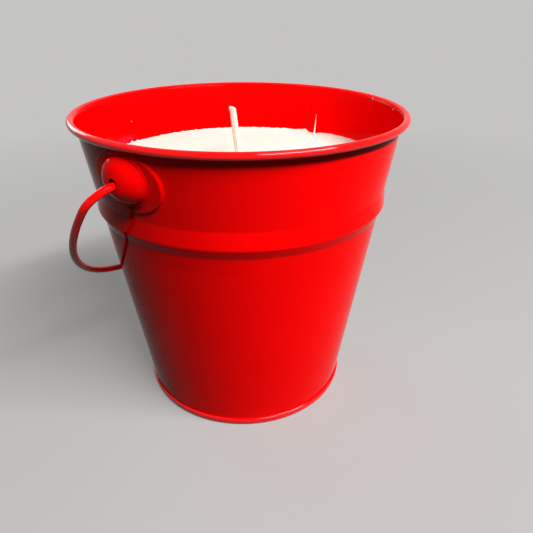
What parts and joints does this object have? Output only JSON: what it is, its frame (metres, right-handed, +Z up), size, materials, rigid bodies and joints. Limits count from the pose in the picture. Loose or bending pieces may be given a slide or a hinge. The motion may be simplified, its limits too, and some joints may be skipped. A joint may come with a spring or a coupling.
{
  "type": "bucket candle",
  "caption": "Container candle poured in a small tapered painted metal pail with a rolled rim, a beaded wall, a seamed foot and a swinging wire bail held in two domed ears.",
  "frame": {"origin": "under the middle of the pail, on the surface it stands on", "axes": "+Z up along the pail's axis; X runs through both ears, +X towards the ear over the side seam; at rest the bail hangs on the +Y side"},
  "size_m": [0.1516, 0.1298, 0.1236],
  "materials": {
    "red_paint": "thick glossy red enamel over thin sheet steel and steel wire",
    "ivory_wax": "smooth satin ivory candle wax, slightly translucent",
    "waxed_cotton": "braided cotton primed with wax",
    "tinned_steel": "thin tin-plated steel",
    "white_foam": "white adhesive foam"
  },
  "bodies": {
    "pail": {"pail_wall": "red_paint", "pail_bottom": "red_paint", "ear_left": "red_paint", "ear_right": "red_paint", "wax_fill": "ivory_wax", "wick": "waxed_cotton", "wick_sustainer": "tinned_steel", "wick_sticker": "white_foam"},
    "bail": {"bail_handle": "red_paint"}
  },
  "joints": [
    {"name": "bail_swing", "type": "hinge", "parent": "pail", "child": "bail", "pos_m": [0, 0, 0.1102], "axis": [1, 0, 0], "range_deg": [0, 280.68]}
  ]
}
